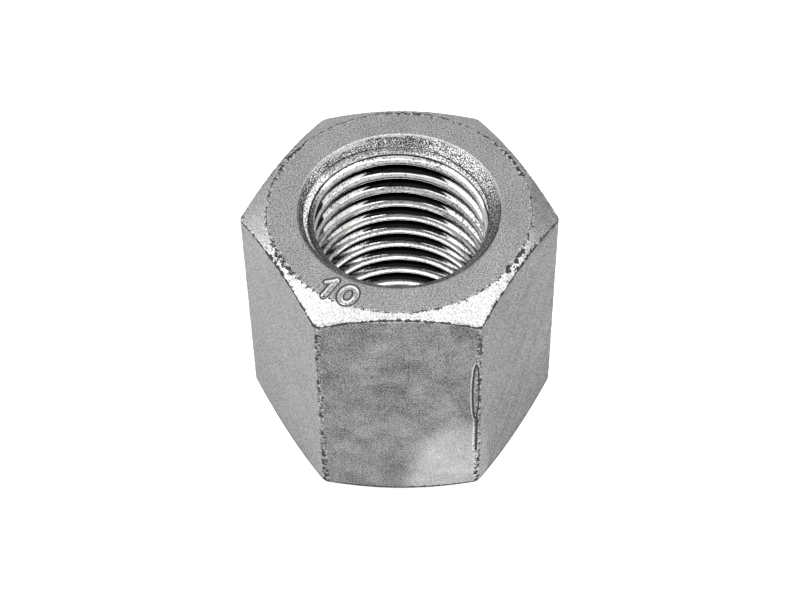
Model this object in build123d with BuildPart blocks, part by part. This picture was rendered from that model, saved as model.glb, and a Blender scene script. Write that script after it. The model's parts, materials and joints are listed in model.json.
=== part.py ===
from build123d import *

import math
import os

# Wheel nut: a tall hexagon nut, chamfered at both ends, with a right-hand metric thread in a
# countersunk bore.
# The origin is the middle of the lower face, +Z runs up the bore and one flat faces -Y.

# Driving dimensions, lengths in millimetres and angles in degrees
WALL = 5.0  # from the outer diameter of the thread to a flat, which makes the nut 32 mm across flats
HEIGHT = 33.5
CORNER_RADIUS = 0.9  # upright corners of the hexagon bar
FACE_SETBACK = 0.78  # from a flat in to the round edge of an end face
CHAMFER_ANGLE = 30.0  # slope of the end chamfers, from the face
THREAD_DIAMETER = 22.0
THREAD_PITCH = 2.5
THREAD_ANGLE = 60.0  # between the two flanks of a turn
THREAD_START = -54.0  # where the groove reaches the upper face, round from +X
THREAD_STEPS = 36  # straight steps in one turn of the groove, 0.04 mm inside the true helix at most
BORE_ALLOWANCE = 0.4  # bore over the basic minor diameter, which blunts the crests
COUNTERSINK_OVERSIZE = 1.55  # mouth over the thread diameter
COUNTERSINK_ANGLE = 90.0  # between opposite sides of the cone
MOUTH_CHAMFER = 0.12  # softening where a countersink meets its face

# Hexagon and chamfers
root_radius = THREAD_DIAMETER / 2
flat_distance = root_radius + WALL
corner_distance = flat_distance / math.cos(math.radians(30))
face_edge = flat_distance - FACE_SETBACK
chamfer_drop = (corner_distance - face_edge) * math.tan(math.radians(CHAMFER_ANGLE))

# Bore, five eighths of the thread's full triangle inside its outer diameter
flank_slope = math.tan(math.radians(THREAD_ANGLE / 2))
thread_triangle = THREAD_PITCH / 2 / flank_slope
bore_radius = root_radius + BORE_ALLOWANCE / 2 - thread_triangle * 5 / 8

# One turn of the thread upwards from its groove, as radius and height: root flat, flank, crest flat, flank
root_half = THREAD_PITCH / 16
crest_start = root_half + (root_radius - bore_radius) * flank_slope
thread_profile = [
    (root_radius, -root_half),
    (root_radius, root_half),
    (bore_radius, crest_start),
    (bore_radius, THREAD_PITCH - crest_start),
]
profile_corners = len(thread_profile)

# The thread runs out past both faces
thread_turns = math.ceil(HEIGHT / THREAD_PITCH) + 2
last_step = thread_turns * THREAD_STEPS
lowest_groove = HEIGHT + THREAD_PITCH * (1 - thread_turns)

# Countersinks, as full cones
mouth_edge = root_radius + COUNTERSINK_OVERSIZE / 2
cone_height = mouth_edge / math.tan(math.radians(COUNTERSINK_ANGLE / 2))


def thread_corner(step, number):
    """A corner of the profile, some steps up the helix. After the last corner comes the next turn's first."""
    radius, rise = thread_profile[number % profile_corners]
    turns = step / THREAD_STEPS
    angle = math.radians(THREAD_START) + math.tau * turns
    height = lowest_groove + rise + THREAD_PITCH * (turns + number // profile_corners)
    return Vector(radius * math.cos(angle), radius * math.sin(angle), height)


def facet(*corners):
    return Face(Wire.make_polygon(corners, close=True))


def thread_core():
    """The inside of the thread, closed below the nut and above it."""
    below = Vector(0, 0, lowest_groove - THREAD_PITCH)
    above = Vector(0, 0, lowest_groove + THREAD_PITCH * (thread_turns + 2))
    facets = []
    for step in range(last_step):
        for number in range(profile_corners):
            lower = [thread_corner(step, number), thread_corner(step + 1, number)]
            upper = [thread_corner(step, number + 1), thread_corner(step + 1, number + 1)]
            # Root and crest steps are flat, and a flank's step twists, so it takes two triangles
            if number % 2 == 0:
                facets.append(facet(*lower, upper[1], upper[0]))
            else:
                facets.append(facet(*lower, upper[1]))
                facets.append(facet(lower[0], upper[1], upper[0]))

    # Ends: a fan under the first turn and over the last one, and the profile where the helix starts and stops
    first_turn = [thread_corner(step, 0) for step in range(THREAD_STEPS + 1)]
    last_turn = [thread_corner(last_step - step, profile_corners) for step in range(THREAD_STEPS + 1)]
    for end, helix in ((below, first_turn), (above, last_turn)):
        facets += [facet(end, *edge) for edge in zip(helix, helix[1:])]
    for end, step in ((below, 0), (above, last_step)):
        facets.append(facet(end, *[thread_corner(step, number) for number in range(profile_corners + 1)]))
    return Solid(Shell(facets))


with BuildPart() as nut:
    # Hexagon bar with softly rounded corners
    with BuildSketch(Plane.XY):
        hexagon = RegularPolygon(radius=flat_distance, side_count=6, major_radius=False)
        fillet(hexagon.vertices(), radius=CORNER_RADIUS)
    extrude(amount=HEIGHT)

    # Turned outline, whose cones chamfer the six corners at both ends
    with BuildSketch(Plane.XZ):
        with BuildLine():
            Polyline(
                (0, 0),
                (face_edge, 0),
                (corner_distance, chamfer_drop),
                (corner_distance, HEIGHT - chamfer_drop),
                (face_edge, HEIGHT),
                (0, HEIGHT),
                close=True,
            )
        make_face()
    revolve(axis=Axis.Z, mode=Mode.INTERSECT)

    # Countersinks
    with BuildSketch(Plane.XZ):
        for face_height, tip_height in ((0, cone_height), (HEIGHT, HEIGHT - cone_height)):
            with BuildLine():
                Polyline((0, face_height), (mouth_edge, face_height), (0, tip_height), close=True)
            make_face()
    revolve(axis=Axis.Z, mode=Mode.SUBTRACT)

    # Softened mouths: the inner round edge of each end face
    end_faces = nut.faces().filter_by(Axis.Z)
    chamfer([face.inner_wires()[0].edges()[0] for face in end_faces], length=MOUTH_CHAMFER)

    # Bore, open to the crests, and the grooves of the thread
    with BuildSketch(Plane.XY):
        Circle(bore_radius)
    extrude(amount=HEIGHT, mode=Mode.SUBTRACT)
    add(thread_core(), mode=Mode.SUBTRACT)

os.makedirs("parts", exist_ok=True)
nut.part.label = "nut"
export_step(nut.part, "parts/nut.step")
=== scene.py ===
import json
import math

import bmesh
import bpy
import numpy as np
from bpy.props import FloatProperty, FloatVectorProperty, IntProperty, PointerProperty
from mathutils import Matrix, Vector


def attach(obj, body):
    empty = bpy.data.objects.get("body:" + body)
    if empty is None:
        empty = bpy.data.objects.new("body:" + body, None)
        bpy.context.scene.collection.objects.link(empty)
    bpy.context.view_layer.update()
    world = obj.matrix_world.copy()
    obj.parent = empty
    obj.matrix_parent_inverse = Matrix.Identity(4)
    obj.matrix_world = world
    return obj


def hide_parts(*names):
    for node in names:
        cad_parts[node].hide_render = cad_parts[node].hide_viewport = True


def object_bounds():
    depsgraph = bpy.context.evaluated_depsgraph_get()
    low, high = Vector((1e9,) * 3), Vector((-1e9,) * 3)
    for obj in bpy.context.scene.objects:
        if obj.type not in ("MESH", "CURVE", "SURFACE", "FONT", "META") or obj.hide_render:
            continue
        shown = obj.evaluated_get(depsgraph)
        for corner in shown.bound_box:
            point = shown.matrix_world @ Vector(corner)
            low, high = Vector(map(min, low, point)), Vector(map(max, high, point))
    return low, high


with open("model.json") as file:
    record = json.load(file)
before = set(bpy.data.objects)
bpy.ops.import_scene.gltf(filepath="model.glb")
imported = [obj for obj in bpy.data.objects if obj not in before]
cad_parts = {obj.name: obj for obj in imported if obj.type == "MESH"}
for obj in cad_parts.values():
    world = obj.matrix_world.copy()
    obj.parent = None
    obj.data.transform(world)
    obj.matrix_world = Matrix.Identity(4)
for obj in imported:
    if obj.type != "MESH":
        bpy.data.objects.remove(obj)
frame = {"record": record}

bl_info = {
    "name": "Wheel nut",
    "version": (1, 0, 0),
    "blender": (4, 5, 0),
    "location": "3D View > Sidebar > Wheel nut",
    "description": "Makes a tall hexagonal wheel nut with a threaded bore, and a plain stage for it",
    "category": "Add Mesh",
}

MM = 0.001
FAR = 0.1  # a distance from an edge that is past all its marks

# The solid model's box, from which the main sizes follow
cad_low, cad_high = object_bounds()
ACROSS_FLATS = cad_high.y - cad_low.y
ACROSS_CORNERS = cad_high.x - cad_low.x
HEIGHT = cad_high.z - cad_low.z
THREAD = next(mount for mount in frame["record"]["mounts"] if mount["name"] == "thread")
CREST_RADIUS = THREAD["dims"]["r_mm"] * MM
PITCH = 2.5 * MM
HALF_SIDE = math.radians(30)  # from the middle of a flat round to a corner
CORNER_RATIO = 1 / math.cos(HALF_SIDE)
CORNER_RADIUS = (ACROSS_FLATS * CORNER_RATIO - ACROSS_CORNERS) / 2 / (CORNER_RATIO - 1)


# Node trees


class Wire:
    """An output of a node. Arithmetic on it adds the Math node that works it out."""

    def __init__(self, board, socket):
        self.board = board
        self.socket = socket

    def math(self, operation, *others):
        return self.board.math(operation, self, *others)

    def __add__(self, other):
        return self.math("ADD", other)

    def __sub__(self, other):
        return self.math("SUBTRACT", other)

    def __mul__(self, other):
        return self.math("MULTIPLY", other)

    def __truediv__(self, other):
        return self.math("DIVIDE", other)

    def __pow__(self, other):
        return self.math("POWER", other)

    def __mod__(self, other):
        return self.math("FLOORED_MODULO", other)

    def __neg__(self):
        return self.math("MULTIPLY", -1.0)

    def __abs__(self):
        return self.math("ABSOLUTE")

    def __gt__(self, other):
        return self.math("GREATER_THAN", other)

    def __lt__(self, other):
        return self.math("LESS_THAN", other)

    def __radd__(self, other):
        return self.math("ADD", other)

    def __rmul__(self, other):
        return self.math("MULTIPLY", other)

    def __rsub__(self, other):
        return self.board.math("SUBTRACT", other, self)

    def __rtruediv__(self, other):
        return self.board.math("DIVIDE", other, self)

    def least(self, other):
        return self.math("MINIMUM", other)

    def most(self, other):
        return self.math("MAXIMUM", other)

    def fade(self, start, end):
        """0 at start, 1 at end, smooth between them and level outside them."""
        return self.board.map_range(self, start, end, "SMOOTHSTEP")

    def ramp(self, start, end):
        """0 at start, 1 at end, straight between them and level outside them."""
        return self.board.map_range(self, start, end, "LINEAR")


class Board:
    """A node tree that is filled node by node."""

    def __init__(self, tree):
        self.tree = tree
        tree.nodes.clear()

    def add(self, kind, settings=None, values=None, output=0):
        """A new node with its settings, and the values or links of its sockets. Gives one of its outputs."""
        node = self.tree.nodes.new(kind)
        for name, value in (settings or {}).items():
            setattr(node, name, value)
        for name, value in (values or {}).items():
            self.feed(node.inputs[name], value)
        return Wire(self, node.outputs[output]) if node.outputs else None

    def feed(self, socket, value):
        if isinstance(value, Wire):
            self.tree.links.new(value.socket, socket)
        else:
            socket.default_value = value

    def out(self, wire, name):
        """Another output of the node that a wire comes from."""
        return Wire(self, wire.socket.node.outputs[name])

    def math(self, operation, *values):
        return self.add("ShaderNodeMath", {"operation": operation}, dict(enumerate(values)))

    def map_range(self, value, start, end, kind):
        values = {"Value": value, "From Min": start, "From Max": end}
        return self.add("ShaderNodeMapRange", {"interpolation_type": kind}, values)

    def mix(self, factor, low, high):
        """A colour between two colours."""
        return self.add("ShaderNodeMix", {"data_type": "RGBA"}, {0: factor, 6: low, 7: high}, output=2)


# The nut


class NutSizes(bpy.types.PropertyGroup):
    across_flats: FloatProperty(
        name="Across flats", description="Width of the hexagon between opposite flats",
        default=ACROSS_FLATS, unit="LENGTH", subtype="DISTANCE",
    )
    height: FloatProperty(
        name="Height", description="Length of the nut along its bore",
        default=HEIGHT, unit="LENGTH", subtype="DISTANCE",
    )
    corner_radius: FloatProperty(
        name="Corner radius", description="Rounding of the six upright corners",
        default=CORNER_RADIUS, unit="LENGTH", subtype="DISTANCE",
    )
    face_setback: FloatProperty(
        name="Face setback", description="From a flat in to the round edge of an end face",
        default=0.78 * MM, unit="LENGTH", subtype="DISTANCE",
    )
    chamfer_angle: FloatProperty(
        name="Chamfer angle", description="Slope of the end chamfers, from the face",
        default=math.radians(30), unit="ROTATION", subtype="ANGLE",
    )
    edge_rounding: FloatProperty(
        name="Edge rounding", description="How far the rounding of an edge reaches on either side of it",
        default=0.12 * MM, unit="LENGTH", subtype="DISTANCE",
    )
    mouth_radius: FloatProperty(
        name="Mouth radius", description="Radius of the countersink where it meets its face",
        default=11.775 * MM, unit="LENGTH", subtype="DISTANCE",
    )
    mouth_rounding: FloatProperty(
        name="Mouth rounding", description="How far the rounding of the mouth reaches on either side of it",
        default=0.145 * MM, unit="LENGTH", subtype="DISTANCE",
    )
    columns: IntProperty(
        name="Columns", description="Columns of faces round the nut, six times a whole number",
        default=216, min=48,
    )
    side_rows: IntProperty(
        name="Side rows", description="Rows of faces up half the height of a flat",
        default=24, min=2,
    )
    grade_depth: FloatProperty(
        name="Grade depth", description="Depth of the stamped strength grade",
        default=0.25 * MM, unit="LENGTH", subtype="DISTANCE",
    )


class ThreadSizes(bpy.types.PropertyGroup):
    diameter: FloatProperty(
        name="Diameter", description="Diameter at the root of the thread",
        default=22 * MM, unit="LENGTH", subtype="DISTANCE",
    )
    crest_radius: FloatProperty(
        name="Crest radius", description="Radius at the crest of the thread",
        default=CREST_RADIUS, unit="LENGTH", subtype="DISTANCE",
    )
    pitch: FloatProperty(
        name="Pitch", description="Rise of the thread in one turn",
        default=PITCH, unit="LENGTH", subtype="DISTANCE",
    )
    flank_angle: FloatProperty(
        name="Flank angle", description="Slope of a flank from the plane across the bore",
        default=math.radians(30), unit="ROTATION", subtype="ANGLE",
    )
    crest_edge: FloatProperty(
        name="Crest edge", description="How far the rounding of a crest's lower edge reaches",
        default=0.06 * MM, unit="LENGTH", subtype="DISTANCE",
    )
    crest_rounding: FloatProperty(
        name="Crest rounding", description="How far the rounding of a crest's upper edge reaches",
        default=0.28 * MM, unit="LENGTH", subtype="DISTANCE",
    )
    start: FloatProperty(
        name="Start", description="Where the groove reaches the upper face, round from +X",
        default=math.radians(-54), unit="ROTATION", subtype="ANGLE",
    )


EDGE_PLACES = (0.0, 0.25, 0.5, 0.75, 1.0)  # along the curve that rounds an edge


def between(start, end, part):
    """A point part of the way from one point to another, as radius and height."""
    return tuple(start[n] + (end[n] - start[n]) * part for n in (0, 1))


def moved(point, direction, distance):
    return tuple(point[n] + direction[n] * distance for n in (0, 1))


def edge_turn(corner, before, after, reach, hold):
    """Rows that round an edge, as radius and height. With a hold, one more row lies that far before them."""
    points = []
    if hold:
        points.append(moved(corner, before, reach + hold))
    for place in EDGE_PLACES:
        back, ahead = (1 - place) ** 2, place**2
        points.append(tuple(corner[n] + reach * (before[n] * back + after[n] * ahead) for n in (0, 1)))
    return points


def follow(rows, points, index):
    """The point at a row: the rows run through the points, some rows to each stretch."""
    place, done = list(points[0]), 0
    for count, here, there in zip(rows, points, points[1:]):
        along = index.ramp(done, done + count)
        for n in (0, 1):
            place[n] = place[n] + along * (there[n] - here[n])
        done += count
    return place


class NutTree:
    """Geometry nodes that make the nut: a grid for the outside and one for the bore, welded at the mouths."""

    SIZES = (
        "Across Flats", "Height", "Corner Radius", "Face Setback", "Edge Rounding", "Mouth Radius",
        "Mouth Rounding", "Root Diameter", "Crest Radius", "Pitch", "Crest Rounding", "Crest Edge",
    )
    ANGLES = ("Chamfer Angle", "Flank Angle", "Thread Start")
    COUNTS = ("Columns", "Side Rows")
    MATERIALS = ("Coat", "Bore Finish")
    HOLD = 0.03 * MM  # from a rounded edge to the row beside it, which keeps the face beyond it flat
    CORNER_CROWDING = 0.75  # how much closer the columns stand at the corners
    WELD = 0.002 * MM
    CHAMFER_ROWS = 4
    FACE_ROWS = 10
    PAST_RIM = 0.3 * MM  # further in than this, a point is on a chamfer or a face
    CHAMFER_FADE = 0.1 * MM
    ROOT_SOFTNESS = 0.04 * MM  # how far the edge of a root reaches
    FLANK_SWELL = ((0.25, 0.045 * MM), (0.5, 0.06 * MM), (0.75, 0.045 * MM))  # worn flanks bulge a little
    # From the middle of a groove to the middle of a crest: two for the root, then flank, edge and crest
    THREAD_ROWS = 2 + len(FLANK_SWELL) + len(EDGE_PLACES) + 1

    def __init__(self):
        tree = bpy.data.node_groups.new("wheel_nut", "GeometryNodeTree")
        self.tree = tree
        self.board = Board(tree)
        self.sockets = {}
        kinds = (
            (self.SIZES, "NodeSocketFloat", "DISTANCE"),
            (self.ANGLES, "NodeSocketFloat", "ANGLE"),
            (self.COUNTS, "NodeSocketInt", None),
            (self.MATERIALS, "NodeSocketMaterial", None),
        )
        for names, kind, subtype in kinds:
            for name in names:
                socket = tree.interface.new_socket(name, in_out="INPUT", socket_type=kind)
                if subtype:
                    socket.subtype = subtype
                self.sockets[name] = socket.identifier
        tree.interface.new_socket("Nut", in_out="OUTPUT", socket_type="NodeSocketGeometry")
        source = self.board.add("NodeGroupInput")
        self.given = {name: self.board.out(source, name) for name in self.sockets}
        self.build()

    def grid(self, columns, rows):
        """A flat grid, and the column and row of each of its points."""
        values = {"Size X": columns, "Size Y": rows, "Vertices X": columns + 1, "Vertices Y": rows + 1}
        mesh = self.board.add("GeometryNodeMeshGrid", {}, values)
        place = self.board.add("GeometryNodeInputPosition")
        x = self.board.add("ShaderNodeSeparateXYZ", {}, {0: place})
        y = self.board.out(x, "Y")
        return mesh, (x + columns / 2).math("ROUND"), (y + rows / 2).math("ROUND")

    def store(self, mesh, name, value):
        """Keeps a value at each point of the mesh, for the finishes."""
        settings = {"data_type": "FLOAT", "domain": "POINT"}
        values = {"Geometry": mesh, "Name": name, "Value": value}
        return self.board.add("GeometryNodeStoreNamedAttribute", settings, values)

    def set_round(self, mesh, turn, radius, height):
        """Puts each point at its angle, radius and height."""
        x, y = radius * turn.math("COSINE"), radius * turn.math("SINE")
        place = self.board.add("ShaderNodeCombineXYZ", {}, {"X": x, "Y": y, "Z": height})
        return self.board.add("GeometryNodeSetPosition", {}, {"Geometry": mesh, "Position": place})

    def angle(self, column):
        """The angle of a column round from +X, with the columns closer together at the corners."""
        even = column * math.tau / self.given["Columns"]
        return even - (even * 6).math("SINE") * (self.CORNER_CROWDING / 6)

    def hexagon(self, turn):
        """The reach of the rounded hexagon at an angle, and how far along its flat the nearest corner is."""
        flat, radius = self.given["Across Flats"] / 2, self.given["Corner Radius"]
        centre = (flat - radius) * CORNER_RATIO
        from_flat = abs((turn % (HALF_SIDE * 2)) - HALF_SIDE)
        from_corner = HALF_SIDE - from_flat
        across = centre * from_corner.math("SINE")
        arc = centre * from_corner.math("COSINE") + (radius**2 - across**2).most(0.0).math("SQRT")
        straight = flat / from_flat.math("COSINE")
        tangent = ((flat - radius) * math.tan(HALF_SIDE) / flat).math("ARCTANGENT")
        reach = straight + (from_flat > tangent) * (arc - straight)
        along = flat * (math.tan(HALF_SIDE) - from_flat.math("TANGENT"))
        return reach, along

    def outside(self):
        """The outside, from the lower mouth over a face, a flat and the other face to the upper mouth."""
        given, hold = self.given, self.HOLD
        slope, rounding = given["Chamfer Angle"], given["Edge Rounding"]
        rise, run = slope.math("SINE"), slope.math("COSINE")
        edge_rows = [1] * (len(EDGE_PLACES) + 1)
        over_edges = [*edge_rows, self.CHAMFER_ROWS, *edge_rows, self.FACE_ROWS, *edge_rows[1:]]
        half_rows = given["Side Rows"] + sum(over_edges)
        mesh, column, row = self.grid(given["Columns"], half_rows * 2)
        turn = self.angle(column)
        reach, along = self.hexagon(turn)

        # Half the outline, up from the middle of the height
        half = given["Height"] / 2
        face_edge = given["Across Flats"] / 2 - given["Face Setback"]
        rim = half - (reach - face_edge) * (rise / run)
        up_cone, down_cone = (-run, rise), (run, -rise)
        rim_turn = edge_turn((reach, rim), (0.0, -1.0), up_cone, rounding, hold)
        rim_after = moved((reach, rim), up_cone, rounding + hold)
        face_turn = edge_turn((face_edge, half), down_cone, (-1.0, 0.0), rounding, hold)
        face_after = (face_edge - rounding - hold, half)
        mouth, into_cone = (given["Mouth Radius"], half), (-math.sqrt(0.5), -math.sqrt(0.5))
        mouth_turn = edge_turn(mouth, (1.0, 0.0), into_cone, given["Mouth Rounding"], hold)
        points = [(reach, half * 0.0), *rim_turn, rim_after, *face_turn, face_after, *mouth_turn]
        from_middle = row - half_rows
        radius, above = follow([given["Side Rows"], *over_edges], points, abs(from_middle))

        # Distances from the edges. The corners' marks stay off the chamfers.
        past_rim = reach - radius > self.PAST_RIM
        mesh = self.store(mesh, "corner_gap", along + past_rim * MM)
        mesh = self.store(mesh, "rim_gap", abs(above - rim).most((reach - radius) / run))
        mesh = self.store(mesh, "face_gap", abs(radius - face_edge))
        chamfer = (reach - radius).ramp(0.0, self.CHAMFER_FADE) * (radius > face_edge)
        mesh = self.store(mesh, "chamfer", chamfer)
        mesh = self.store(mesh, "mouth_gap", abs(radius - given["Mouth Radius"]))
        mesh = self.store(mesh, "in_bore", 0.0)
        return self.set_round(mesh, turn, radius, half + above * from_middle.math("SIGN"))

    def bore(self):
        """The thread and both cones: rows that climb a helix, pushed out to the cones between the mouths."""
        given, soft = self.given, self.ROOT_SOFTNESS
        root, crest, pitch = given["Root Diameter"] / 2, given["Crest Radius"], given["Pitch"]
        angle = given["Flank Angle"]
        lean = angle.math("TANGENT")
        root_half = pitch / 16
        turn_rows = self.THREAD_ROWS * 2
        turns = (given["Height"] / pitch).math("CEIL") + 2
        mesh, column, row = self.grid(given["Columns"], turns * turn_rows)
        turn = self.angle(column)
        groove = (row / turn_rows).math("ROUND")
        beside = row - groove * turn_rows

        # Half a turn's profile, up from the middle of its groove
        reach = given["Crest Edge"] + (beside < 0.0) * (given["Crest Rounding"] - given["Crest Edge"])
        down_flank = (angle.math("COSINE"), -angle.math("SINE"))
        crest_corner = (crest, root_half + (root - crest) * lean)
        crest_turn = edge_turn(crest_corner, down_flank, (0.0, 1.0), reach, 0)
        root_edge = (root - soft / lean, root_half + soft)
        points = [(root, root * 0.0), (root, root_half - soft), root_edge]
        for part, swell in self.FLANK_SWELL:
            radius, rise = between(root_edge, crest_turn[0], part)
            points.append((radius, rise - swell))
        points += [*crest_turn, (crest, pitch / 2)]
        radius, rise = follow([1] * self.THREAD_ROWS, points, abs(beside))

        # The rows climb the helix, and stop where they meet the rounding of a mouth
        over = rise * beside.math("SIGN")
        climb = groove - turns + (turn - given["Thread Start"]) / math.tau
        drop = given["Mouth Rounding"] * math.sqrt(0.5)
        height = (given["Height"] + pitch * climb + over).most(drop).least(given["Height"] - drop)
        cone = given["Mouth Radius"] - height.least(given["Height"] - height)
        mesh = self.store(mesh, "groove", ((radius - crest) / (root - crest)).most(0.0))
        mesh = self.store(mesh, "over_groove", over / pitch)
        mesh = self.store(mesh, "cone_lift", cone - radius)
        mesh = self.store(mesh, "mouth_gap", abs(cone - given["Mouth Radius"]))
        mesh = self.store(mesh, "in_bore", 1.0)
        for name in ("corner_gap", "rim_gap", "face_gap"):
            mesh = self.store(mesh, name, FAR)
        return self.set_round(mesh, turn, radius.most(cone), height)

    def build(self):
        """Welds the bore to the outside, and gives each its finish."""
        add = self.board.add
        outside = self.outside()
        bore = add("GeometryNodeFlipFaces", {}, {"Mesh": self.bore()})
        joined = add("GeometryNodeJoinGeometry", {}, {0: bore})
        self.board.feed(joined.socket.node.inputs[0], outside)
        welded = add("GeometryNodeMergeByDistance", {}, {"Geometry": joined, "Distance": self.WELD})
        smooth = add("GeometryNodeSetShadeSmooth", {}, {"Geometry": welded, "Shade Smooth": True})
        real = add("GeometryNodeRealizeInstances", {}, {"Geometry": smooth})
        coated = add("GeometryNodeSetMaterial", {}, {"Geometry": real, "Material": self.given["Coat"]})
        in_bore = add("GeometryNodeInputNamedAttribute", {"data_type": "FLOAT"}, {"Name": "in_bore"}) > 0.99
        values = {"Geometry": coated, "Selection": in_bore, "Material": self.given["Bore Finish"]}
        add("NodeGroupOutput", {}, {"Nut": add("GeometryNodeSetMaterial", {}, values)})


def made_plain(name, tree, inputs):
    """A new object with the plain mesh that a geometry tree makes from its inputs."""
    maker = bpy.data.objects.new(name + "_maker", bpy.data.meshes.new(name + "_maker"))
    bpy.context.scene.collection.objects.link(maker)
    modifier = maker.modifiers.new("nut", "NODES")
    modifier.node_group = tree.tree
    for key, value in inputs.items():
        modifier[tree.sockets[key]] = value
    graph = bpy.context.evaluated_depsgraph_get()
    mesh = bpy.data.meshes.new_from_object(maker.evaluated_get(graph), depsgraph=graph)
    mesh.name = name

    # The grids start with an empty material slot, which goes
    if mesh.materials[0] is None:
        used = np.zeros(len(mesh.polygons), dtype=np.int32)
        mesh.polygons.foreach_get("material_index", used)
        mesh.materials.pop(index=0)
        mesh.polygons.foreach_set("material_index", np.maximum(used - 1, 0))
    maker.modifiers.remove(modifier)
    old = maker.data
    bpy.data.objects.remove(maker)
    bpy.data.meshes.remove(old)
    piece = bpy.data.objects.new(name, mesh)
    bpy.context.scene.collection.objects.link(piece)
    return piece


# The strength grade, stamped beside the front left corner of the upper face, in millimetres and degrees
GRADE_RADIUS = 13.85
GRADE_WALL = 0.11  # width of the sloping walls of a stroke
GRADE_SPAN = (-132.5, -105.5)  # what is divided finely, round from +X
GRADE_BAND = (12.2, 15.3)  # and out from the axis
GRADE_CUTS = 4
GRADE_FRONT = -8.0  # the digits lie in front of this
GRADE_BELOW = 1.0  # points no further than this below the face keep their distance from the strokes
ONE_TURN, ZERO_TURN = -123.0, -113.6
ONE_STROKES = (((0.0, -1.28), (0.0, 1.22), 0.62), ((-0.1, 1.12), (-0.86, 0.42), 0.42))  # start, end, width
ZERO_HALF = (0.86, 1.16)
ZERO_WIDTH = 0.56
ZERO_CORNERS = 40
LEVEL = 0.01 * MM  # a point this far off a face still lies on it


def to_line(points, start, end):
    """Distance of each point from a straight stroke."""
    start, end = np.array(start), np.array(end)
    along = np.clip((points - start) @ (end - start) / ((end - start) @ (end - start)), 0, 1)
    return np.linalg.norm(points - start - along[:, None] * (end - start), axis=1)


def grade_gap(x, y):
    """How far outside the strokes of the two digits each point of the face is, below 0 inside them."""
    steps = np.linspace(0, math.tau, ZERO_CORNERS + 1)
    ring = [(ZERO_HALF[0] * math.cos(step), ZERO_HALF[1] * math.sin(step)) for step in steps]
    zero_strokes = [(start, end, ZERO_WIDTH) for start, end in zip(ring, ring[1:])]
    gaps = []
    for turn, strokes in ((ONE_TURN, ONE_STROKES), (ZERO_TURN, zero_strokes)):
        side = math.radians(turn)
        right = np.array([-math.sin(side), math.cos(side)])
        up = np.array([-math.cos(side), -math.sin(side)])
        local = np.stack([x, y], axis=1) + up * GRADE_RADIUS
        local = np.stack([local @ right, local @ up], axis=1)
        gaps += [to_line(local, start, end) - width / 2 for start, end, width in strokes]
    return np.min(gaps, axis=0)


def stamp_grade(mesh, height, depth):
    """Sinks the digits of the strength grade into the upper face."""
    bm = bmesh.new()
    bm.from_mesh(mesh)

    def under_grade(face):
        middle = face.calc_center_median()
        turn = math.degrees(math.atan2(middle.y, middle.x))
        reach = math.hypot(middle.x, middle.y) / MM
        in_span = GRADE_SPAN[0] < turn < GRADE_SPAN[1]
        return middle.z > height - LEVEL and in_span and GRADE_BAND[0] < reach < GRADE_BAND[1]

    faces = [face for face in bm.faces if under_grade(face)]
    edges = list({edge for face in faces for edge in face.edges})
    bmesh.ops.subdivide_edges(bm, edges=edges, cuts=GRADE_CUTS, use_grid_fill=True)
    on_face = (vert for vert in bm.verts if vert.co.z > height - LEVEL)
    near = [vert for vert in on_face if vert.co.y < GRADE_FRONT * MM and vert.co.x < 0]
    x, y = (np.array([vert.co[n] for vert in near]) / MM for n in (0, 1))
    sunk = np.clip(0.5 - grade_gap(x, y) / GRADE_WALL, 0, 1)
    sunk = sunk * sunk * (3 - 2 * sunk) * depth
    for vert, drop in zip(near, sunk):
        vert.co.z -= drop
    bm.to_mesh(mesh)
    bm.free()

    # Each point keeps its distance from the strokes, for the coat
    places = np.empty(len(mesh.vertices) * 3)
    mesh.vertices.foreach_get("co", places)
    x, y, z = places.reshape(-1, 3).T / MM
    gap = np.full(len(x), FAR)
    stamped = (z > height / MM - GRADE_BELOW) & (y < GRADE_FRONT) & (x < 0)
    gap[stamped] = grade_gap(x[stamped], y[stamped]) * MM
    kept = mesh.attributes.new("grade_gap", "FLOAT", "POINT")
    kept.data.foreach_set("value", gap.astype(np.float32))


# Finishes


class FinishColours(bpy.types.PropertyGroup):
    coat: FloatVectorProperty(
        name="Coat", description="Zinc coat of the outside",
        default=(0.365, 0.368, 0.368, 1), size=4, min=0, max=1, subtype="COLOR",
    )
    # Also the colour of the painted shade round the stamped digits
    worn_and_shaded: FloatVectorProperty(
        name="Worn edges", description="Dark marks along the edges",
        default=(0.075, 0.075, 0.075, 1), size=4, min=0, max=1, subtype="COLOR",
    )
    thread: FloatVectorProperty(
        name="Thread", description="Cut steel of the thread",
        default=(0.36, 0.36, 0.355, 1), size=4, min=0, max=1, subtype="COLOR",
    )


# Places on the object, in millimetres. A pair is where a change starts and where it is complete.
TOP = HEIGHT / MM
FLAT = ACROSS_FLATS / MM / 2
ON_FLAT = (FLAT - 0.5, FLAT - 0.1)
ON_TOP = (TOP - 0.12, TOP - 0.08)
FRONT_TOP = TOP - 0.9
LOWER_END = (2.5, 1.5)
LOWER_CORNERS = (12.0, 4.0)
# A painted highlight round the mouths
MOUTH_HIGHLIGHT_REACH = (0.12, 0.02)

# Round patches: centre, reach along each axis, and where the core ends as a squared share of the reach
PALE_PATCH = ((8.0, -16.0, 1.0), (8.8, 3.0, 14.5), 0.35)
# Painted shade on the upper chamfer at the right corner
CHAMFER_SHADE_PATCH = ((16.9, 0.0, 32.9), (2.6, 8.0, 1.6), 0.5)
# Painted shade on the cone at the far left
CONE_SHADE_PATCH = ((-4.2, 10.5, 33.0), (8.2, 6.0, 6.0), 0.5)

# Directions on it: out of the right-hand flat, along the smears there and across them, and across the scar
RIGHT_NORMAL = (math.cos(HALF_SIDE), -math.sin(HALF_SIDE))
SMEAR_RUN = (0.33, 0.57, 0.75)
SMEAR_ACROSS = (-0.375, -0.65, 0.66)
SMEAR_LENGTH, SMEAR_WIDTH = 9.0, 1.3
SCAR_SIDE = (math.cos(HALF_SIDE), math.sin(HALF_SIDE))

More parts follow.
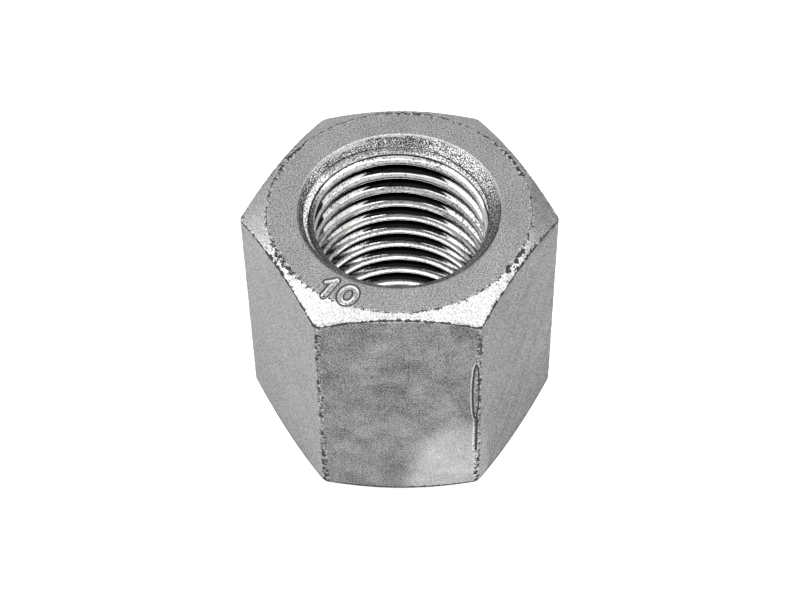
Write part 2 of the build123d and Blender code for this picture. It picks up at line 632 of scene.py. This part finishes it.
# The scar down the right front corner: a long loop, and below it a single line, which is its tail
SCAR_OFF_CORNER = 0.38
SCAR_CORNER_REACH = 17.0  # what lies further out than this is the corner
LOOP_HEIGHT = 19.9
LOOP_HALF_LENGTH = 5.2
LOOP_HALF_WIDTH = 0.34
LOOP_SHARPNESS = 0.6  # 0.5 makes it an ellipse, and more points its ends
LOOP_LINE = (0.13, 0.05)
SCAR_HIGHLIGHT_GAP = 0.17  # from the loop out to its painted highlight
SCAR_HIGHLIGHT_LINE = (0.1, 0.04)
SCAR_HIGHLIGHT_HEIGHT = 17.0
SCAR_HIGHLIGHT_REACH = (9.0, 8.0)
TAIL_HEIGHT = 11.8
TAIL_REACH = (3.6, 2.8)
TAIL_OFFSET = 0.15
TAIL_LINE = (0.17, 0.08)

# The stamped digits: painted shade outside their edge, and a painted highlight across the wall of a stroke
OUTLINE_INNER = (0.0, 0.05)
OUTLINE_OUTER = (0.27, 0.19)
WALL_INNER = (-0.14, -0.08)
WALL_OUTER = (0.06, 0.0)

# The coat's tone, as a share that a place adds or takes away
# Painted shade on the front and right flats, the upper face and a patch of chamfer
FRONT_SHADE, RIGHT_SHADE, TOP_SHADE, CHAMFER_SHADE = 0.36, 0.15, 0.1, 0.25
# Chamfers are brighter partly from their turned finish and partly by a painted highlight
CHAMFER_TURNING_AND_HIGHLIGHT, PALE_BRIGHTER, PALE_BRIGHTER_IN_FRONT = 0.45, 0.3, 0.45
# Bright edge flecks are bare spots, partly painted glints; painted highlights on the digits' walls, the
# mouths and the scar's edge
BURNISH_AND_GLINT, WALL_HIGHLIGHT, MOUTH_HIGHLIGHT, SCAR_HIGHLIGHT = 0.7, 0.9, 0.35, 0.7
DARKEST = 0.1

# Lines along the edges: half width and raggedness
RIM_LINE, RIM_RAGGED = 0.17, 0.22
FACE_LINE, FACE_RAGGED = 0.06, 0.2
CORNER_LINE, CORNER_RAGGED = 0.04, 0.26
LOWER_RIM_WIDER = 0.2

# Dark flecks, and bright flecks that are bare burnished spots and partly painted glints: how far they reach
# from an edge, and how rare they are
CORNER_FLECKS = (1.3, 0.1)
RIM_FLECKS = (0.8, 0.0)
FACE_FLECKS = (0.9, 0.0)
FLECK_RARITY, BURNISH_AND_GLINT_RARITY = 1.38, 1.15

# The narrow part of a chamfer: from a corner along its side, behind the front, and from the nearer edge
NARROW_ALONG = (5.5, 8.5)
NARROW_BEHIND = (14.0, 12.0)
NARROW_ACROSS = (0.9, 0.5)

# The bore. Places over a groove are in pitches above its middle. Depths go from 0 at a crest to 1 at a root.
CREST_DEPTH = (0.2, 0.02)
ROOT_DEPTH = (0.37, 0.5)
CREST_EDGE, CREST_SOFTNESS = 0.32, 0.02
UNDER_FLANK = (0.0, 0.06)
ON_CONE = (-0.02, 0.03)
UPPER_EDGE_REACH = 0.06  # how much further the painted highlight band goes over its crest's upper, rounder edge
FIRST_TURN, FIRST_TURN_DEPTH = (3.6, 2.6), (0.8, 0.6)  # millimetres below the upper face, and depth
FIRST_GROOVE = (2.6, 2.3)  # millimetres below the upper face
LOWER_FLANK = (-0.19, -0.16)
RUN_OUT, RUN_OUT_LINE = -0.205, (0.035, 0.02)
# Painted highlight on the crests and round the cone's mouth
CREST_HIGHLIGHT, FILLED_BRIGHTER, CONE_MOUTH_HIGHLIGHT = 1.7, 0.7, 0.5
# Pits are the steel's own; roots, down-facing flanks and the run-out line take painted shade
PITS_DARKER, ROOT_SHADE, UNDER_SHADE, RUN_OUT_SHADE = 0.75, 0.92, 0.94, 0.95
CONE_TONE, CONE_GRAIN, CONE_DARKEST = 0.8, 1.15, 0.03
CONE_GAIN, CONE_SHADE = 1.28, 0.6

RELIEF_HEIGHT = 0.02 * MM
RELIEF_STRENGTH = 0.5


def new_material(name):
    material = bpy.data.materials.new(name)
    material.use_nodes = True
    return material, Board(material.node_tree)


def finish(board, relief, values):
    """Ends a material with its relief and its shader's values."""
    heights = {"Strength": RELIEF_STRENGTH, "Distance": RELIEF_HEIGHT, "Height": relief}
    bump = board.add("ShaderNodeBump", {}, heights)
    shader = board.add("ShaderNodeBsdfPrincipled", {}, {**values, "Normal": bump})
    board.add("ShaderNodeOutputMaterial", {}, {"Surface": shader})


class Pattern:
    """Procedural patterns on the place of each point of the object, in millimetres."""

    def __init__(self, board):
        self.board = board
        self.place = board.out(board.add("ShaderNodeTexCoord"), "Object")
        metres = board.add("ShaderNodeSeparateXYZ", {}, {0: self.place})
        self.x, self.y, self.z = (board.out(metres, name) / MM for name in "XYZ")

    def noise(self, place, scale, seed, detail, rough):
        """Noise about 0, nearly all of it between -1 and 1."""
        values = {"Vector": place, "W": seed, "Scale": scale, "Detail": detail, "Roughness": rough}
        return (self.board.add("ShaderNodeTexNoise", {"noise_dimensions": "4D"}, values) - 0.5) * 4

    def cloud(self, size, seed, detail=2.0, rough=0.5):
        """Noise with blobs of about the given size."""
        return self.noise(self.place, 1 / (size * MM), seed, detail, rough)

    def toward(self, direction):
        """How far each point lies along a direction, in metres."""
        values = {0: self.place, 1: direction}
        return self.board.add("ShaderNodeVectorMath", {"operation": "DOT_PRODUCT"}, values, "Value")

    def streaks(self, run, across, length, width, seed):
        """Noise drawn out along one direction."""
        x, y = self.toward(run) / (length * MM), self.toward(across) / (width * MM)
        place = self.board.add("ShaderNodeCombineXYZ", {}, {"X": x, "Y": y})
        return self.noise(place, 1.0, seed, 3.0, 0.6)

    def kept(self, name):
        """A value that the mesh keeps at each of its points."""
        return self.board.out(self.board.add("ShaderNodeAttribute", {"attribute_name": name}), "Fac")

    def patch(self, centre, reach, core):
        """1 in the core of a round patch and 0 outside its reach."""
        axes = zip((self.x, self.y, self.z), centre, reach)
        squares = [((axis - middle) / size) ** 2 for axis, middle, size in axes]
        return (squares[0] + squares[1] + squares[2]).fade(1.0, core)

    def mouth_highlight(self):
        """A thin painted highlight round the mouth of each countersink."""
        return (self.kept("mouth_gap") / MM).fade(*MOUTH_HIGHLIGHT_REACH)

    def tinted(self, colour, tone):
        values = {0: tuple(colour)[:3], "Scale": tone}
        return self.board.add("ShaderNodeVectorMath", {"operation": "SCALE"}, values)


class CoatPattern(Pattern):
    """What shows on the zinc coat."""

    def __init__(self, board):
        super().__init__(board)
        self.blotch = self.cloud(size=2.4, seed=1.0, detail=4.0, rough=0.65)
        self.haze = self.cloud(size=6.0, seed=2.0, detail=1.0)
        self.grain = self.cloud(size=0.17, seed=3.0, detail=1.0, rough=0.6)
        self.break_up = self.cloud(size=0.8, seed=4.0, detail=4.0, rough=0.8)
        self.fleck = self.cloud(size=0.5, seed=5.0, detail=2.0, rough=0.7)
        self.bright_fleck = self.cloud(size=0.22, seed=8.0, detail=2.0, rough=0.7)

    def tone(self):
        """Mottled flats, the front one most, painted shade on the front and right flats and the upper face,
        chamfers brighter partly from turning and partly by painted highlight, painted shade on a chamfer
        patch at the right corner, and a pale patch at the foot of the front.
        """
        front = (-self.y).fade(*ON_FLAT) * (self.z < FRONT_TOP)
        right = (self.x * RIGHT_NORMAL[0] + self.y * RIGHT_NORMAL[1]).fade(*ON_FLAT)
        top = self.z.fade(*ON_TOP)
        smears = self.streaks(SMEAR_RUN, SMEAR_ACROSS, SMEAR_LENGTH, SMEAR_WIDTH, seed=11.0)
        pale = (self.patch(*PALE_PATCH) + (self.break_up + self.blotch) * 0.08).most(0.0)
        mottle = self.blotch * (0.08 + front * 0.2) + self.haze * (0.05 + front * 0.1)
        # The right flat is darker by painted shade, under its real smears
        mottle = mottle + right * (smears * 0.2 - RIGHT_SHADE)
        # The front flat is darker by painted shade
        tone = 1 + mottle + self.grain * (0.75 - front * 0.12) - front * FRONT_SHADE
        tone = tone + pale * (PALE_BRIGHTER + front * PALE_BRIGHTER_IN_FRONT)
        # Chamfers brighter, partly turned finish and partly painted highlight; the upper face darker by
        # painted shade
        tone = tone + self.kept("chamfer") * CHAMFER_TURNING_AND_HIGHLIGHT - top * TOP_SHADE
        # Painted shade on a patch of the upper chamfer at the right corner
        return tone - self.patch(*CHAMFER_SHADE_PATCH) * (1 - top) * CHAMFER_SHADE

    def edge_marks(self):
        """Thin broken lines along the edges with dark flecks beside them, and bright flecks there that are
        bare burnished spots and partly painted glints.
        """
        rim, face, corner = (self.kept(name) / MM for name in ("rim_gap", "face_gap", "corner_gap"))
        low = self.z.fade(*LOWER_END)
        rim_line = RIM_LINE + low * LOWER_RIM_WIDER - rim + self.break_up * RIM_RAGGED
        face_line = FACE_LINE - face + self.break_up * FACE_RAGGED
        corner_line = CORNER_LINE - corner + self.break_up * CORNER_RAGGED + self.haze * 0.08
        line = (rim_line.most(face_line).most(corner_line) + self.fleck * 0.07).fade(0.0, 0.06)

        # Beside the edges, and over the narrow part of the chamfers except in front
        beside = corner.fade(*CORNER_FLECKS) * (1 + self.z.fade(*LOWER_CORNERS) * 0.12)
        beside = beside.most(rim.fade(*RIM_FLECKS)).most(face.fade(*FACE_FLECKS) * 0.85)
        narrow = corner.fade(*NARROW_ALONG) * (-self.y).fade(*NARROW_BEHIND)
        narrow = narrow * rim.least(face).fade(*NARROW_ACROSS)
        beside = beside + narrow * 0.3
        flecks = (self.fleck + self.break_up * 0.5 + beside * 1.4 - FLECK_RARITY).fade(0.0, 0.2)
        # Bright flecks: bare burnished spots, partly painted glints
        burnish_and_glints = (self.bright_fleck + beside * 1.2 - BURNISH_AND_GLINT_RARITY).fade(0.0, 0.2)
        return line.most(flecks), burnish_and_glints

    def scar(self):
        """The dark lines of the scar, and a painted highlight along the edge round its loop."""
        across = self.x * SCAR_SIDE[0] + self.y * SCAR_SIDE[1] + SCAR_OFF_CORNER + self.break_up * 0.05
        at_corner = self.x * SCAR_SIDE[1] - self.y * SCAR_SIDE[0] > SCAR_CORNER_REACH
        along = (self.z - LOOP_HEIGHT) / LOOP_HALF_LENGTH
        loop = (1 - along**2).most(0.0) ** LOOP_SHARPNESS * LOOP_HALF_WIDTH
        off_loop = abs(across) - loop
        loop_line = abs(off_loop).fade(*LOOP_LINE) * (loop > 0.01)
        tail = abs(across - TAIL_OFFSET).fade(*TAIL_LINE) * abs(self.z - TAIL_HEIGHT).fade(*TAIL_REACH)
        dark = (loop_line.most(tail) + self.fleck * 0.15).fade(0.1, 0.35)
        # Painted highlight along the edge of the loop
        light = abs(off_loop - SCAR_HIGHLIGHT_GAP).fade(*SCAR_HIGHLIGHT_LINE)
        light = light * abs(self.z - SCAR_HIGHLIGHT_HEIGHT).fade(*SCAR_HIGHLIGHT_REACH)
        light = (light + self.bright_fleck * 0.4 - 0.1).fade(0.2, 0.6)
        return dark * at_corner, light * at_corner

    def grade(self):
        """The painted shade round the stamped digits, and the painted highlight on the sloping sides of their
        strokes.
        """
        gap = self.kept("grade_gap") / MM
        outline = gap.fade(*OUTLINE_INNER) * gap.fade(*OUTLINE_OUTER)
        return outline, gap.fade(*WALL_INNER) * gap.fade(*WALL_OUTER)


def zinc_coat(colours):
    """Dull zinc plating: cloudy grey with a fine grain, and broken dark and bare marks along the edges, the
    bare ones partly painted glints.
    """
    material, board = new_material("zinc_coat")
    coat = CoatPattern(board)
    edge_marks, burnish_and_glints = coat.edge_marks()
    scar, scar_highlight = coat.scar()
    outline, walls = coat.grade()
    # Marks: wear along the edges, the scar, and the painted shade round the digits
    marks = edge_marks.most(outline * 0.95).most(scar)
    # Bright edge flecks are partly painted glints; the digits' walls carry a painted highlight
    tone = coat.tone() + burnish_and_glints * BURNISH_AND_GLINT + walls * WALL_HIGHLIGHT
    # Painted highlights round the mouth and along the scar's loop
    tone = tone + coat.mouth_highlight() * MOUTH_HIGHLIGHT + scar_highlight * SCAR_HIGHLIGHT
    plating = coat.tinted(colours.coat, tone.most(DARKEST))
    finish(board, coat.grain * 0.3 + coat.blotch * 0.3 + coat.haze * 0.3 - marks * 1.2, {
        "Base Color": board.mix(marks, plating, tuple(colours.worn_and_shaded)),
        "Metallic": 1.0,
        "Roughness": 0.55 + coat.blotch * 0.03 + marks * 0.2,
    })
    return material


def cut_steel(colours):
    """Cut steel of the bore: bright smooth thread, and grainy countersinks."""
    material, board = new_material("cut_steel")
    pattern = Pattern(board)
    grain = pattern.cloud(size=0.16, seed=6.0, detail=1.0, rough=0.6)
    speck = pattern.cloud(size=0.25, seed=7.0, detail=2.0, rough=0.7)
    patchy = pattern.cloud(size=3.0, seed=9.0)
    salt = pattern.cloud(size=0.16, seed=12.0, detail=0.0, rough=0.0)
    depth, over = pattern.kept("groove"), pattern.kept("over_groove")
    below_top = TOP - pattern.z

    # Painted highlight on the crests and the first turn, painted shade in the roots and on the flanks that
    # face down
    upper_side = (-over).fade(0.0, CREST_SOFTNESS)
    to_crest = abs(over) + upper_side * UPPER_EDGE_REACH + speck * 0.01
    first_turn = below_top.fade(*FIRST_TURN) * depth.fade(*FIRST_TURN_DEPTH)
    # Painted highlight on the crests and, below, the first turn; it also makes them less metallic
    crest_highlight = depth.fade(*CREST_DEPTH) * to_crest.fade(CREST_EDGE, CREST_EDGE + CREST_SOFTNESS)
    crest_highlight = crest_highlight.most(first_turn * 0.8)
    # Painted shade in the roots
    root = (depth + speck * 0.03).fade(*ROOT_DEPTH) * (1 - first_turn)
    # Painted shade on the flanks that face down
    under = over.fade(*UNDER_FLANK) * over.fade(CREST_EDGE + CREST_SOFTNESS, CREST_EDGE)
    pits = (speck + patchy * 0.3 - 0.2).fade(0.0, 0.2)
    thread_tone = (1 + crest_highlight * CREST_HIGHLIGHT) * (1 - pits * PITS_DARKER)
    thread_tone = thread_tone * (1 - root * ROOT_SHADE) * (1 - under * UNDER_SHADE)

    # The countersink's finish reaches into the first groove, down to a line of painted shade on its lower
    # flank
    first_groove = (below_top + over * (PITCH / MM)).fade(*FIRST_GROOVE)
    in_groove = first_groove * over.fade(*LOWER_FLANK)
    on_cone = (pattern.kept("cone_lift") / MM).fade(*ON_CONE)
    cone = on_cone.most(in_groove)
    filled = in_groove * (1 - on_cone)
    # Painted shade along the run-out line in the first groove
    run_out_shade = first_groove * abs(over - RUN_OUT + speck * 0.01).fade(*RUN_OUT_LINE)

    # The cones are salt and pepper, with painted shade at the far left and a painted highlight round the
    # mouth
    salt = (salt + grain * 0.3).fade(-0.35, 0.35) - 0.5
    cone_tone = CONE_TONE + salt * CONE_GRAIN + pattern.mouth_highlight() * CONE_MOUTH_HIGHLIGHT
    cone_tone = cone_tone.most(CONE_DARKEST) * (1 + filled * FILLED_BRIGHTER)
    # Painted shade on the far left of the cone
    cone_tone = cone_tone * (CONE_GAIN - pattern.patch(*CONE_SHADE_PATCH) * CONE_SHADE)
    tone = (thread_tone + cone * (cone_tone - thread_tone)) * (1 - run_out_shade * RUN_OUT_SHADE)
    crest_highlight = crest_highlight * (1 - cone)
    finish(board, speck * (0.03 + cone * 0.5) + grain * cone * 2, {
        "Base Color": pattern.tinted(colours.thread, tone),
        "Metallic": 1 - filled * 0.85 - crest_highlight * 0.65,
        "Roughness": 0.07 + cone * 0.2 + crest_highlight * 0.1 + filled * 0.25,
    })
    return material


class WHEELNUT_OT_nut(bpy.types.Operator):
    """Make the nut: a chamfered hexagon with a threaded and countersunk bore"""

    bl_idname = "wheelnut.make_nut"
    bl_label = "Make nut"

    def execute(self, context):
        sizes, thread = context.scene.nut_sizes, context.scene.thread_sizes
        colours = context.scene.finish_colours
        inputs = {
            "Across Flats": sizes.across_flats,
            "Height": sizes.height,
            "Corner Radius": sizes.corner_radius,
            "Face Setback": sizes.face_setback,
            "Chamfer Angle": sizes.chamfer_angle,
            "Edge Rounding": sizes.edge_rounding,
            "Mouth Radius": sizes.mouth_radius,
            "Mouth Rounding": sizes.mouth_rounding,
            "Columns": sizes.columns,
            "Side Rows": sizes.side_rows,
            "Root Diameter": thread.diameter,
            "Crest Radius": thread.crest_radius,
            "Pitch": thread.pitch,
            "Flank Angle": thread.flank_angle,
            "Crest Rounding": thread.crest_rounding,
            "Crest Edge": thread.crest_edge,
            "Thread Start": thread.start,
            "Coat": zinc_coat(colours),
            "Bore Finish": cut_steel(colours),
        }
        piece = made_plain("wheel_nut", NutTree(), inputs)
        if not piece.data.polygons:
            raise RuntimeError("the geometry tree made no nut")
        stamp_grade(piece.data, sizes.height, sizes.grade_depth)
        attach(piece, "root")
        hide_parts("nut")
        return {"FINISHED"}


# The stage


class StageSettings(bpy.types.PropertyGroup):
    lens: FloatProperty(
        name="Lens", description="Focal length of the camera, on a 36 mm sensor",
        default=99.2, unit="CAMERA", subtype="DISTANCE_CAMERA",
    )
    distance: FloatProperty(
        name="Distance", description="From the camera to the point that it looks at",
        default=0.26525, unit="LENGTH", subtype="DISTANCE",
    )
    azimuth: FloatProperty(
        name="Azimuth", description="Camera's place round the nut, from -Y towards +X",
        default=math.radians(1.282), unit="ROTATION", subtype="ANGLE",
    )
    elevation: FloatProperty(
        name="Elevation", description="Camera's height above the horizon",
        default=math.radians(50.924), unit="ROTATION", subtype="ANGLE",
    )
    roll: FloatProperty(
        name="Roll", description="Turn of the camera about its line of sight",
        default=math.radians(-0.994), unit="ROTATION", subtype="ANGLE",
    )
    target: FloatVectorProperty(
        name="Target", description="Point that the camera looks at",
        default=(-0.000093, 0.000189, 0.01675), size=3, unit="LENGTH", subtype="TRANSLATION",
    )


SENSOR_WIDTH = 36.0
CLIP = (0.005, 20.0)
LAMP_DISTANCE = 0.7
LAMPS = (
    # name, azimuth and elevation in degrees, size in metres, brightness
    ("left_box", -94, 41, (0.52, 0.58), 3.0),
    ("right_box", 88, 41, (0.46, 0.58), 2.2),
    ("left_high_box", -88, 66, (0.22, 0.3), 3.0),
    ("right_high_box", 88, 66, (0.22, 0.3), 2.6),
    ("top_box", 15, 80, (0.3, 0.15), 9.0),
    ("left_front_box", -48, 40, (0.42, 0.26), 2.3),
    ("right_front_box", 48, 40, (0.42, 0.26), 3.5),
    ("front_box", 0, 14, (0.8, 0.24), 5.5),
    ("rear_box", 180, 69, (0.5, 0.14), 3.0),
    ("back_box", 180, 45, (0.6, 0.5), 0.8),
)
WHITE = (1, 1, 1, 1)
FILL = 0.035  # light from all round
FLOOR_COLOUR = (0.75, 0.75, 0.75, 1)
FLOOR_HALF = 3.0
FLOOR_SEEN = 0.6  # how much paler the floor looks to the camera
BORE_GLOW = 3.0  # of the floor under the bore, where the steel mirrors it
BORE_GLOW_REACH = (0.013, 0.011)


def outward(azimuth, elevation):
    """Unit vector from the nut to a place above the horizon, with azimuth 0 at -Y and 90 degrees at +X."""
    flat = math.cos(elevation)
    return Vector((math.sin(azimuth) * flat, -math.cos(azimuth) * flat, math.sin(elevation)))


def add_camera(stage):
    back = outward(stage.azimuth, stage.elevation)
    level = Vector((math.cos(stage.azimuth), math.sin(stage.azimuth), 0))
    upright = back.cross(level)
    right = level * math.cos(stage.roll) + upright * math.sin(stage.roll)
    up = back.cross(right)
    camera = bpy.data.objects.new("camera", bpy.data.cameras.new("camera"))
    camera.data.lens = stage.lens
    camera.data.sensor_width = SENSOR_WIDTH
    camera.data.clip_start, camera.data.clip_end = CLIP
    turned = Matrix((right, up, back)).transposed().to_4x4()
    camera.matrix_world = Matrix.Translation(Vector(stage.target) + back * stage.distance) @ turned
    bpy.context.scene.collection.objects.link(camera)
    bpy.context.scene.camera = camera


def add_lamp(name, azimuth, elevation, size, brightness):
    """A soft lamp that faces the nut. Its brightness is that of its surface."""
    light = bpy.data.lights.new(name, "AREA")
    light.shape = "RECTANGLE"
    light.size, light.size_y = size
    light.energy = brightness * size[0] * size[1] * math.pi
    lamp = bpy.data.objects.new(name, light)
    away = outward(math.radians(azimuth), math.radians(elevation))
    lamp.location = away * LAMP_DISTANCE + Vector((0, 0, HEIGHT / 2))
    lamp.rotation_euler = away.to_track_quat("Z", "Y").to_euler()
    bpy.context.scene.collection.objects.link(lamp)


def add_world():
    """Weak light from all round, and a white background for the camera."""
    world = bpy.data.worlds.new("studio")
    world.use_nodes = True
    board = Board(world.node_tree)
    seen = board.out(board.add("ShaderNodeLightPath"), "Is Camera Ray")
    fill = board.add("ShaderNodeBackground", {}, {"Color": WHITE, "Strength": FILL})
    plain = board.add("ShaderNodeBackground", {}, {"Color": WHITE, "Strength": 1.0})
    both = board.add("ShaderNodeMixShader", {}, {0: seen, 1: fill, 2: plain})
    board.add("ShaderNodeOutputWorld", {}, {"Surface": both})
    bpy.context.scene.world = world


def pale_floor():
    """A matt floor. The camera sees it paler, and the bore mirrors it white."""
    material, board = new_material("pale_floor")
    path = board.add("ShaderNodeLightPath")
    seen, mirrored = board.out(path, "Is Camera Ray"), board.out(path, "Is Glossy Ray")
    place = board.out(board.add("ShaderNodeTexCoord"), "Object")
    reach = board.add("ShaderNodeVectorMath", {"operation": "LENGTH"}, {0: place}, "Value")
    glow = seen * FLOOR_SEEN + mirrored * reach.fade(*BORE_GLOW_REACH) * BORE_GLOW
    matt = board.add("ShaderNodeBsdfDiffuse", {}, {"Color": FLOOR_COLOUR})
    lift = board.add("ShaderNodeEmission", {}, {"Color": WHITE, "Strength": glow})
    both = board.add("ShaderNodeAddShader", {}, {0: matt, 1: lift})
    board.add("ShaderNodeOutputMaterial", {}, {"Surface": both})
    return material


def add_floor():
    mesh = bpy.data.meshes.new("floor")
    corners = [(x * FLOOR_HALF, y * FLOOR_HALF, 0) for x, y in ((-1, -1), (1, -1), (1, 1), (-1, 1))]
    mesh.from_pydata(corners, [], [range(len(corners))])
    mesh.materials.append(pale_floor())
    floor = bpy.data.objects.new("floor", mesh)
    bpy.context.scene.collection.objects.link(floor)


class WHEELNUT_OT_stage(bpy.types.Operator):
    """Make the stage: floor, lamps, world and camera"""

    bl_idname = "wheelnut.make_stage"
    bl_label = "Make stage"

    def execute(self, context):
        add_floor()
        for lamp in LAMPS:
            add_lamp(*lamp)
        add_world()
        add_camera(context.scene.stage_settings)
        context.scene.view_settings.view_transform = "Standard"
        return {"FINISHED"}


class WHEELNUT_PT_panel(bpy.types.Panel):
    """Sizes, colours and buttons for the nut and its stage"""

    bl_idname = "WHEELNUT_PT_panel"
    bl_label = "Wheel nut"
    bl_space_type = "VIEW_3D"
    bl_region_type = "UI"
    bl_category = "Wheel nut"

    def draw(self, context):
        for name, group in GROUPS:
            box = self.layout.box()
            for key in group.__annotations__:
                box.prop(getattr(context.scene, name), key)
        for operator in (WHEELNUT_OT_nut, WHEELNUT_OT_stage):
            self.layout.operator(operator.bl_idname)


GROUPS = (
    ("nut_sizes", NutSizes),
    ("thread_sizes", ThreadSizes),
    ("finish_colours", FinishColours),
    ("stage_settings", StageSettings),
)
CLASSES = (*(group for _, group in GROUPS), WHEELNUT_OT_nut, WHEELNUT_OT_stage, WHEELNUT_PT_panel)


def register():
    for item in CLASSES:
        bpy.utils.register_class(item)
    for name, group in GROUPS:
        setattr(bpy.types.Scene, name, PointerProperty(type=group))


def unregister():
    for name, _ in GROUPS:
        delattr(bpy.types.Scene, name)
    for item in reversed(CLASSES):
        bpy.utils.unregister_class(item)


def main():
    register()
    bpy.ops.wheelnut.make_nut()
    bpy.ops.wheelnut.make_stage()


if __name__ == "__main__":
    main()
